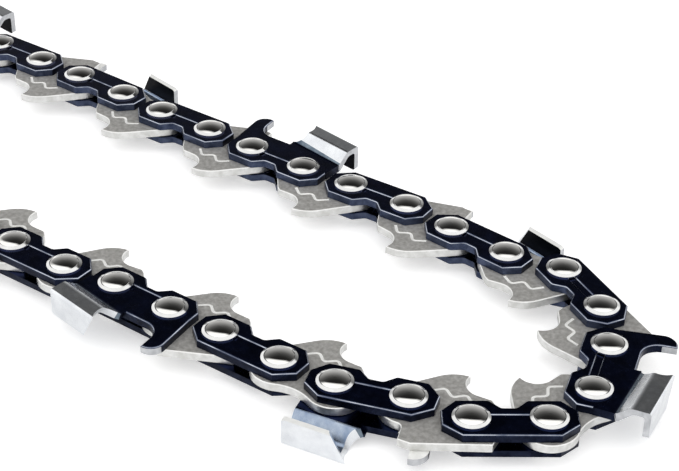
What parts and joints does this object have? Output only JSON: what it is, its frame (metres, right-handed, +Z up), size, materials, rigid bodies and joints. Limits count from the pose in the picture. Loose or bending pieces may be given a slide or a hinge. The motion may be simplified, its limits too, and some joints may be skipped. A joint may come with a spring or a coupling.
{
  "type": "saw chain loop",
  "caption": "Closed loop of low profile saw chain with left and right cutters, bumper drive links and riveted tie straps, lying flat in a long oval.",
  "frame": {"origin": "middle of the loop, on the floor it lies on", "axes": "+X along the oval, +Y across it, +Z up, square to the chain's flat side"},
  "size_m": [0.2574, 0.062, 0.0067],
  "materials": {
    "blued_steel": "blued tie straps and cutter bodies, polished rivets, hard chrome on the cutting plates",
    "bright_steel": "satin steel with bright edges"
  },
  "bodies": {
    "tie_strap_link_01": {"tie_strap_link_01": "blued_steel"},
    "bumper_drive_link_01": {"bumper_drive_link_01": "bright_steel"},
    "right_cutter_link_02": {"right_cutter_link_02": "blued_steel"},
    "drive_link_02": {"drive_link_02": "bright_steel"},
    "tie_strap_link_03": {"tie_strap_link_03": "blued_steel"},
    "bumper_drive_link_03": {"bumper_drive_link_03": "bright_steel"},
    "left_cutter_link_04": {"left_cutter_link_04": "blued_steel"},
    "drive_link_04": {"drive_link_04": "bright_steel"},
    "tie_strap_link_05": {"tie_strap_link_05": "blued_steel"},
    "bumper_drive_link_05": {"bumper_drive_link_05": "bright_steel"},
    "right_cutter_link_06": {"right_cutter_link_06": "blued_steel"},
    "drive_link_06": {"drive_link_06": "bright_steel"},
    "tie_strap_link_07": {"tie_strap_link_07": "blued_steel"},
    "bumper_drive_link_07": {"bumper_drive_link_07": "bright_steel"},
    "left_cutter_link_08": {"left_cutter_link_08": "blued_steel"},
    "drive_link_08": {"drive_link_08": "bright_steel"},
    "tie_strap_link_09": {"tie_strap_link_09": "blued_steel"},
    "bumper_drive_link_09": {"bumper_drive_link_09": "bright_steel"},
    "right_cutter_link_10": {"right_cutter_link_10": "blued_steel"},
    "drive_link_10": {"drive_link_10": "bright_steel"},
    "tie_strap_link_11": {"tie_strap_link_11": "blued_steel"},
    "bumper_drive_link_11": {"bumper_drive_link_11": "bright_steel"},
    "left_cutter_link_12": {"left_cutter_link_12": "blued_steel"},
    "drive_link_12": {"drive_link_12": "bright_steel"},
    "tie_strap_link_13": {"tie_strap_link_13": "blued_steel"},
    "bumper_drive_link_13": {"bumper_drive_link_13": "bright_steel"},
    "right_cutter_link_14": {"right_cutter_link_14": "blued_steel"},
    "drive_link_14": {"drive_link_14": "bright_steel"},
    "tie_strap_link_15": {"tie_strap_link_15": "blued_steel"},
    "bumper_drive_link_15": {"bumper_drive_link_15": "bright_steel"},
    "left_cutter_link_16": {"left_cutter_link_16": "blued_steel"},
    "drive_link_16": {"drive_link_16": "bright_steel"},
    "tie_strap_link_17": {"tie_strap_link_17": "blued_steel"},
    "bumper_drive_link_17": {"bumper_drive_link_17": "bright_steel"},
    "right_cutter_link_18": {"right_cutter_link_18": "blued_steel"},
    "drive_link_18": {"drive_link_18": "bright_steel"},
    "tie_strap_link_19": {"tie_strap_link_19": "blued_steel"},
    "bumper_drive_link_19": {"bumper_drive_link_19": "bright_steel"},
    "left_cutter_link_20": {"left_cutter_link_20": "blued_steel"},
    "drive_link_20": {"drive_link_20": "bright_steel"},
    "tie_strap_link_21": {"tie_strap_link_21": "blued_steel"},
    "bumper_drive_link_21": {"bumper_drive_link_21": "bright_steel"},
    "right_cutter_link_22": {"right_cutter_link_22": "blued_steel"},
    "drive_link_22": {"drive_link_22": "bright_steel"},
    "tie_strap_link_23": {"tie_strap_link_23": "blued_steel"},
    "bumper_drive_link_23": {"bumper_drive_link_23": "bright_steel"},
    "left_cutter_link_24": {"left_cutter_link_24": "blued_steel"},
    "drive_link_24": {"drive_link_24": "bright_steel"},
    "tie_strap_link_25": {"tie_strap_link_25": "blued_steel"},
    "bumper_drive_link_25": {"bumper_drive_link_25": "bright_steel"},
    "right_cutter_link_26": {"right_cutter_link_26": "blued_steel"},
    "drive_link_26": {"drive_link_26": "bright_steel"},
    "tie_strap_link_27": {"tie_strap_link_27": "blued_steel"},
    "bumper_drive_link_27": {"bumper_drive_link_27": "bright_steel"},
    "left_cutter_link_28": {"left_cutter_link_28": "blued_steel"},
    "drive_link_28": {"drive_link_28": "bright_steel"}
  },
  "joints": [
    {"name": "rivet_joint_01", "type": "hinge", "parent": "bumper_drive_link_01", "child": "tie_strap_link_01", "pos_m": [0.00132, 0.02139, 0.00334], "axis": [0, 0, 1], "range_deg": [-8, 4]},
    {"name": "rivet_joint_02", "type": "hinge", "parent": "right_cutter_link_02", "child": "bumper_drive_link_01", "pos_m": [0.01006, 0.02123, 0.00334], "axis": [0, 0, 1], "range_deg": [-4, 8]},
    {"name": "rivet_joint_03", "type": "hinge", "parent": "drive_link_02", "child": "right_cutter_link_02", "pos_m": [0.01996, 0.02089, 0.00334], "axis": [0, 0, 1], "range_deg": [-4, 6]},
    {"name": "rivet_joint_04", "type": "hinge", "parent": "tie_strap_link_03", "child": "drive_link_02", "pos_m": [0.02867, 0.02028, 0.00334], "axis": [0, 0, 1], "range_deg": [-6, 4]},
    {"name": "rivet_joint_05", "type": "hinge", "parent": "bumper_drive_link_03", "child": "tie_strap_link_03", "pos_m": [0.03857, 0.02028, 0.00334], "axis": [0, 0, 1], "range_deg": [-4, 6]},
    {"name": "rivet_joint_06", "type": "hinge", "parent": "left_cutter_link_04", "child": "bumper_drive_link_03", "pos_m": [0.04731, 0.01997, 0.00334], "axis": [0, 0, 1], "range_deg": [-3, 14]},
    {"name": "rivet_joint_07", "type": "hinge", "parent": "drive_link_04", "child": "left_cutter_link_04", "pos_m": [0.05721, 0.01997, 0.00334], "axis": [0, 0, 1], "range_deg": [-3, 14]},
    {"name": "rivet_joint_08", "type": "hinge", "parent": "tie_strap_link_05", "child": "drive_link_04", "pos_m": [0.06594, 0.02028, 0.00334], "axis": [0, 0, 1], "range_deg": [-6, 4]},
    {"name": "rivet_joint_09", "type": "hinge", "parent": "bumper_drive_link_05", "child": "tie_strap_link_05", "pos_m": [0.07584, 0.02062, 0.00334], "axis": [0, 0, 1], "range_deg": [-14, 3]},
    {"name": "rivet_joint_10", "type": "hinge", "parent": "right_cutter_link_06", "child": "bumper_drive_link_05", "pos_m": [0.08449, 0.01941, 0.00334], "axis": [0, 0, 1], "range_deg": [-3, 13]},
    {"name": "rivet_joint_11", "type": "hinge", "parent": "drive_link_06", "child": "right_cutter_link_06", "pos_m": [0.09435, 0.01854, 0.00334], "axis": [0, 0, 1], "range_deg": [-3, 13]},
    {"name": "rivet_joint_12", "type": "hinge", "parent": "tie_strap_link_07", "child": "drive_link_06", "pos_m": [0.10299, 0.01991, 0.00334], "axis": [0, 0, 1], "range_deg": [-13, 3]},
    {"name": "rivet_joint_13", "type": "hinge", "parent": "bumper_drive_link_07", "child": "tie_strap_link_07", "pos_m": [0.11165, 0.01511, 0.00334], "axis": [0, 0, 1], "range_deg": [-13, 3]},
    {"name": "rivet_joint_14", "type": "hinge", "parent": "left_cutter_link_08", "child": "bumper_drive_link_07", "pos_m": [0.11666, 0.00795, 0.00334], "axis": [0, 0, 1], "range_deg": [-14, 3]},
    {"name": "rivet_joint_15", "type": "hinge", "parent": "drive_link_08", "child": "left_cutter_link_08", "pos_m": [0.11955, -0.00151, 0.00334], "axis": [0, 0, 1], "range_deg": [-14, 3]},
    {"name": "rivet_joint_16", "type": "hinge", "parent": "tie_strap_link_09", "child": "drive_link_08", "pos_m": [0.11789, -0.01009, 0.00334], "axis": [0, 0, 1], "range_deg": [-13, 3]},
    {"name": "rivet_joint_17", "type": "hinge", "parent": "bumper_drive_link_09", "child": "tie_strap_link_09", "pos_m": [0.10988, -0.01591, 0.00334], "axis": [0, 0, 1], "range_deg": [-13, 3]},
    {"name": "rivet_joint_18", "type": "hinge", "parent": "right_cutter_link_10", "child": "bumper_drive_link_09", "pos_m": [0.10122, -0.01713, 0.00334], "axis": [0, 0, 1], "range_deg": [-3, 13]},
    {"name": "rivet_joint_19", "type": "hinge", "parent": "drive_link_10", "child": "right_cutter_link_10", "pos_m": [0.09181, -0.02019, 0.00334], "axis": [0, 0, 1], "range_deg": [-14, 3]},
    {"name": "rivet_joint_20", "type": "hinge", "parent": "tie_strap_link_11", "child": "drive_link_10", "pos_m": [0.08307, -0.02049, 0.00334], "axis": [0, 0, 1], "range_deg": [-3, 13]},
    {"name": "rivet_joint_21", "type": "hinge", "parent": "bumper_drive_link_11", "child": "tie_strap_link_11", "pos_m": [0.07317, -0.02049, 0.00334], "axis": [0, 0, 1], "range_deg": [-8, 4]},
    {"name": "rivet_joint_22", "type": "hinge", "parent": "left_cutter_link_12", "child": "bumper_drive_link_11", "pos_m": [0.06443, -0.02049, 0.00334], "axis": [0, 0, 1], "range_deg": [-3, 14]},
    {"name": "rivet_joint_23", "type": "hinge", "parent": "drive_link_12", "child": "left_cutter_link_12", "pos_m": [0.05453, -0.02032, 0.00334], "axis": [0, 0, 1], "range_deg": [-3, 14]},
    {"name": "rivet_joint_24", "type": "hinge", "parent": "tie_strap_link_13", "child": "drive_link_12", "pos_m": [0.04586, -0.02139, 0.00334], "axis": [0, 0, 1], "range_deg": [-4, 6]},
    {"name": "rivet_joint_25", "type": "hinge", "parent": "bumper_drive_link_13", "child": "tie_strap_link_13", "pos_m": [0.03596, -0.02139, 0.00334], "axis": [0, 0, 1], "range_deg": [-4, 8]},
    {"name": "rivet_joint_26", "type": "hinge", "parent": "right_cutter_link_14", "child": "bumper_drive_link_13", "pos_m": [0.02722, -0.02139, 0.00334], "axis": [0, 0, 1], "range_deg": [-6, 4]},
    {"name": "rivet_joint_27", "type": "hinge", "parent": "drive_link_14", "child": "right_cutter_link_14", "pos_m": [0.01732, -0.02139, 0.00334], "axis": [0, 0, 1], "range_deg": [-8, 4]},
    {"name": "rivet_joint_28", "type": "hinge", "parent": "tie_strap_link_15", "child": "drive_link_14", "pos_m": [0.00858, -0.02139, 0.00334], "axis": [0, 0, 1], "range_deg": [-4, 8]},
    {"name": "rivet_joint_29", "type": "hinge", "parent": "tie_strap_link_15", "child": "bumper_drive_link_15", "pos_m": [-0.00132, -0.02139, 0.00334], "axis": [0, 0, -1], "range_deg": [-8, 4]},
    {"name": "rivet_joint_30", "type": "hinge", "parent": "bumper_drive_link_15", "child": "left_cutter_link_16", "pos_m": [-0.01006, -0.02123, 0.00334], "axis": [0, 0, -1], "range_deg": [-4, 8]},
    {"name": "rivet_joint_31", "type": "hinge", "parent": "left_cutter_link_16", "child": "drive_link_16", "pos_m": [-0.01996, -0.02089, 0.00334], "axis": [0, 0, -1], "range_deg": [-4, 6]},
    {"name": "rivet_joint_32", "type": "hinge", "parent": "drive_link_16", "child": "tie_strap_link_17", "pos_m": [-0.02867, -0.02028, 0.00334], "axis": [0, 0, -1], "range_deg": [-6, 4]},
    {"name": "rivet_joint_33", "type": "hinge", "parent": "tie_strap_link_17", "child": "bumper_drive_link_17", "pos_m": [-0.03857, -0.02028, 0.00334], "axis": [0, 0, -1], "range_deg": [-4, 6]},
    {"name": "rivet_joint_34", "type": "hinge", "parent": "bumper_drive_link_17", "child": "right_cutter_link_18", "pos_m": [-0.04731, -0.01997, 0.00334], "axis": [0, 0, -1], "range_deg": [-3, 14]},
    {"name": "rivet_joint_35", "type": "hinge", "parent": "right_cutter_link_18", "child": "drive_link_18", "pos_m": [-0.05721, -0.01997, 0.00334], "axis": [0, 0, -1], "range_deg": [-3, 14]},
    {"name": "rivet_joint_36", "type": "hinge", "parent": "drive_link_18", "child": "tie_strap_link_19", "pos_m": [-0.06594, -0.02028, 0.00334], "axis": [0, 0, -1], "range_deg": [-6, 4]},
    {"name": "rivet_joint_37", "type": "hinge", "parent": "tie_strap_link_19", "child": "bumper_drive_link_19", "pos_m": [-0.07584, -0.02062, 0.00334], "axis": [0, 0, -1], "range_deg": [-14, 3]},
    {"name": "rivet_joint_38", "type": "hinge", "parent": "bumper_drive_link_19", "child": "left_cutter_link_20", "pos_m": [-0.08449, -0.01941, 0.00334], "axis": [0, 0, -1], "range_deg": [-3, 13]},
    {"name": "rivet_joint_39", "type": "hinge", "parent": "left_cutter_link_20", "child": "drive_link_20", "pos_m": [-0.09435, -0.01854, 0.00334], "axis": [0, 0, -1], "range_deg": [-3, 13]},
    {"name": "rivet_joint_40", "type": "hinge", "parent": "drive_link_20", "child": "tie_strap_link_21", "pos_m": [-0.10299, -0.01991, 0.00334], "axis": [0, 0, -1], "range_deg": [-13, 3]},
    {"name": "rivet_joint_41", "type": "hinge", "parent": "tie_strap_link_21", "child": "bumper_drive_link_21", "pos_m": [-0.11165, -0.01511, 0.00334], "axis": [0, 0, -1], "range_deg": [-13, 3]},
    {"name": "rivet_joint_42", "type": "hinge", "parent": "bumper_drive_link_21", "child": "right_cutter_link_22", "pos_m": [-0.11666, -0.00795, 0.00334], "axis": [0, 0, -1], "range_deg": [-14, 3]},
    {"name": "rivet_joint_43", "type": "hinge", "parent": "right_cutter_link_22", "child": "drive_link_22", "pos_m": [-0.11955, 0.00151, 0.00334], "axis": [0, 0, -1], "range_deg": [-14, 3]},
    {"name": "rivet_joint_44", "type": "hinge", "parent": "drive_link_22", "child": "tie_strap_link_23", "pos_m": [-0.11789, 0.01009, 0.00334], "axis": [0, 0, -1], "range_deg": [-13, 3]},
    {"name": "rivet_joint_45", "type": "hinge", "parent": "tie_strap_link_23", "child": "bumper_drive_link_23", "pos_m": [-0.10988, 0.01591, 0.00334], "axis": [0, 0, -1], "range_deg": [-13, 3]},
    {"name": "rivet_joint_46", "type": "hinge", "parent": "bumper_drive_link_23", "child": "left_cutter_link_24", "pos_m": [-0.10122, 0.01713, 0.00334], "axis": [0, 0, -1], "range_deg": [-3, 13]},
    {"name": "rivet_joint_47", "type": "hinge", "parent": "left_cutter_link_24", "child": "drive_link_24", "pos_m": [-0.09181, 0.02019, 0.00334], "axis": [0, 0, -1], "range_deg": [-14, 3]},
    {"name": "rivet_joint_48", "type": "hinge", "parent": "drive_link_24", "child": "tie_strap_link_25", "pos_m": [-0.08307, 0.02049, 0.00334], "axis": [0, 0, -1], "range_deg": [-3, 13]},
    {"name": "rivet_joint_49", "type": "hinge", "parent": "tie_strap_link_25", "child": "bumper_drive_link_25", "pos_m": [-0.07317, 0.02049, 0.00334], "axis": [0, 0, -1], "range_deg": [-8, 4]},
    {"name": "rivet_joint_50", "type": "hinge", "parent": "bumper_drive_link_25", "child": "right_cutter_link_26", "pos_m": [-0.06443, 0.02049, 0.00334], "axis": [0, 0, -1], "range_deg": [-3, 14]},
    {"name": "rivet_joint_51", "type": "hinge", "parent": "right_cutter_link_26", "child": "drive_link_26", "pos_m": [-0.05453, 0.02032, 0.00334], "axis": [0, 0, -1], "range_deg": [-3, 14]},
    {"name": "rivet_joint_52", "type": "hinge", "parent": "drive_link_26", "child": "tie_strap_link_27", "pos_m": [-0.04586, 0.02139, 0.00334], "axis": [0, 0, -1], "range_deg": [-4, 6]},
    {"name": "rivet_joint_53", "type": "hinge", "parent": "tie_strap_link_27", "child": "bumper_drive_link_27", "pos_m": [-0.03596, 0.02139, 0.00334], "axis": [0, 0, -1], "range_deg": [-4, 8]},
    {"name": "rivet_joint_54", "type": "hinge", "parent": "bumper_drive_link_27", "child": "left_cutter_link_28", "pos_m": [-0.02722, 0.02139, 0.00334], "axis": [0, 0, -1], "range_deg": [-6, 4]},
    {"name": "rivet_joint_55", "type": "hinge", "parent": "left_cutter_link_28", "child": "drive_link_28", "pos_m": [-0.01732, 0.02139, 0.00334], "axis": [0, 0, -1], "range_deg": [-8, 4]}
  ],
  "couplings": [
    {"joint": "rivet_joint_01", "follows": "rivet_joint_28", "ratio": -1},
    {"joint": "rivet_joint_02", "follows": "rivet_joint_28", "ratio": 1},
    {"joint": "rivet_joint_03", "follows": "rivet_joint_26", "ratio": -1},
    {"joint": "rivet_joint_04", "follows": "rivet_joint_26", "ratio": 1},
    {"joint": "rivet_joint_05", "follows": "rivet_joint_26", "ratio": -1},
    {"joint": "rivet_joint_06", "follows": "rivet_joint_23", "ratio": 1},
    {"joint": "rivet_joint_07", "follows": "rivet_joint_23", "ratio": 1},
    {"joint": "rivet_joint_08", "follows": "rivet_joint_26", "ratio": 1},
    {"joint": "rivet_joint_09", "follows": "rivet_joint_23", "ratio": -1},
    {"joint": "rivet_joint_10", "follows": "rivet_joint_20", "ratio": 1},
    {"joint": "rivet_joint_11", "follows": "rivet_joint_20", "ratio": 1},
    {"joint": "rivet_joint_12", "follows": "rivet_joint_20", "ratio": -1},
    {"joint": "rivet_joint_13", "follows": "rivet_joint_20", "ratio": -1},
    {"joint": "rivet_joint_14", "follows": "rivet_joint_23", "ratio": -1},
    {"joint": "rivet_joint_15", "follows": "rivet_joint_23", "ratio": -1},
    {"joint": "rivet_joint_16", "follows": "rivet_joint_20", "ratio": -1},
    {"joint": "rivet_joint_17", "follows": "rivet_joint_20", "ratio": -1},
    {"joint": "rivet_joint_18", "follows": "rivet_joint_20", "ratio": 1},
    {"joint": "rivet_joint_19", "follows": "rivet_joint_23", "ratio": -1},
    {"joint": "rivet_joint_21", "follows": "rivet_joint_28", "ratio": -1},
    {"joint": "rivet_joint_22", "follows": "rivet_joint_23", "ratio": 1},
    {"joint": "rivet_joint_24", "follows": "rivet_joint_26", "ratio": -1},
    {"joint": "rivet_joint_25", "follows": "rivet_joint_28", "ratio": 1},
    {"joint": "rivet_joint_27", "follows": "rivet_joint_28", "ratio": -1},
    {"joint": "rivet_joint_29", "follows": "rivet_joint_28", "ratio": -1},
    {"joint": "rivet_joint_30", "follows": "rivet_joint_28", "ratio": 1},
    {"joint": "rivet_joint_31", "follows": "rivet_joint_26", "ratio": -1},
    {"joint": "rivet_joint_32", "follows": "rivet_joint_26", "ratio": 1},
    {"joint": "rivet_joint_33", "follows": "rivet_joint_26", "ratio": -1},
    {"joint": "rivet_joint_34", "follows": "rivet_joint_23", "ratio": 1},
    {"joint": "rivet_joint_35", "follows": "rivet_joint_23", "ratio": 1},
    {"joint": "rivet_joint_36", "follows": "rivet_joint_26", "ratio": 1},
    {"joint": "rivet_joint_37", "follows": "rivet_joint_23", "ratio": -1},
    {"joint": "rivet_joint_38", "follows": "rivet_joint_20", "ratio": 1},
    {"joint": "rivet_joint_39", "follows": "rivet_joint_20", "ratio": 1},
    {"joint": "rivet_joint_40", "follows": "rivet_joint_20", "ratio": -1},
    {"joint": "rivet_joint_41", "follows": "rivet_joint_20", "ratio": -1},
    {"joint": "rivet_joint_42", "follows": "rivet_joint_23", "ratio": -1},
    {"joint": "rivet_joint_43", "follows": "rivet_joint_23", "ratio": -1},
    {"joint": "rivet_joint_44", "follows": "rivet_joint_20", "ratio": -1},
    {"joint": "rivet_joint_45", "follows": "rivet_joint_20", "ratio": -1},
    {"joint": "rivet_joint_46", "follows": "rivet_joint_20", "ratio": 1},
    {"joint": "rivet_joint_47", "follows": "rivet_joint_23", "ratio": -1},
    {"joint": "rivet_joint_48", "follows": "rivet_joint_20", "ratio": 1},
    {"joint": "rivet_joint_49", "follows": "rivet_joint_28", "ratio": -1},
    {"joint": "rivet_joint_50", "follows": "rivet_joint_23", "ratio": 1},
    {"joint": "rivet_joint_51", "follows": "rivet_joint_23", "ratio": 1},
    {"joint": "rivet_joint_52", "follows": "rivet_joint_26", "ratio": -1},
    {"joint": "rivet_joint_53", "follows": "rivet_joint_28", "ratio": 1},
    {"joint": "rivet_joint_54", "follows": "rivet_joint_26", "ratio": 1},
    {"joint": "rivet_joint_55", "follows": "rivet_joint_28", "ratio": -1}
  ]
}
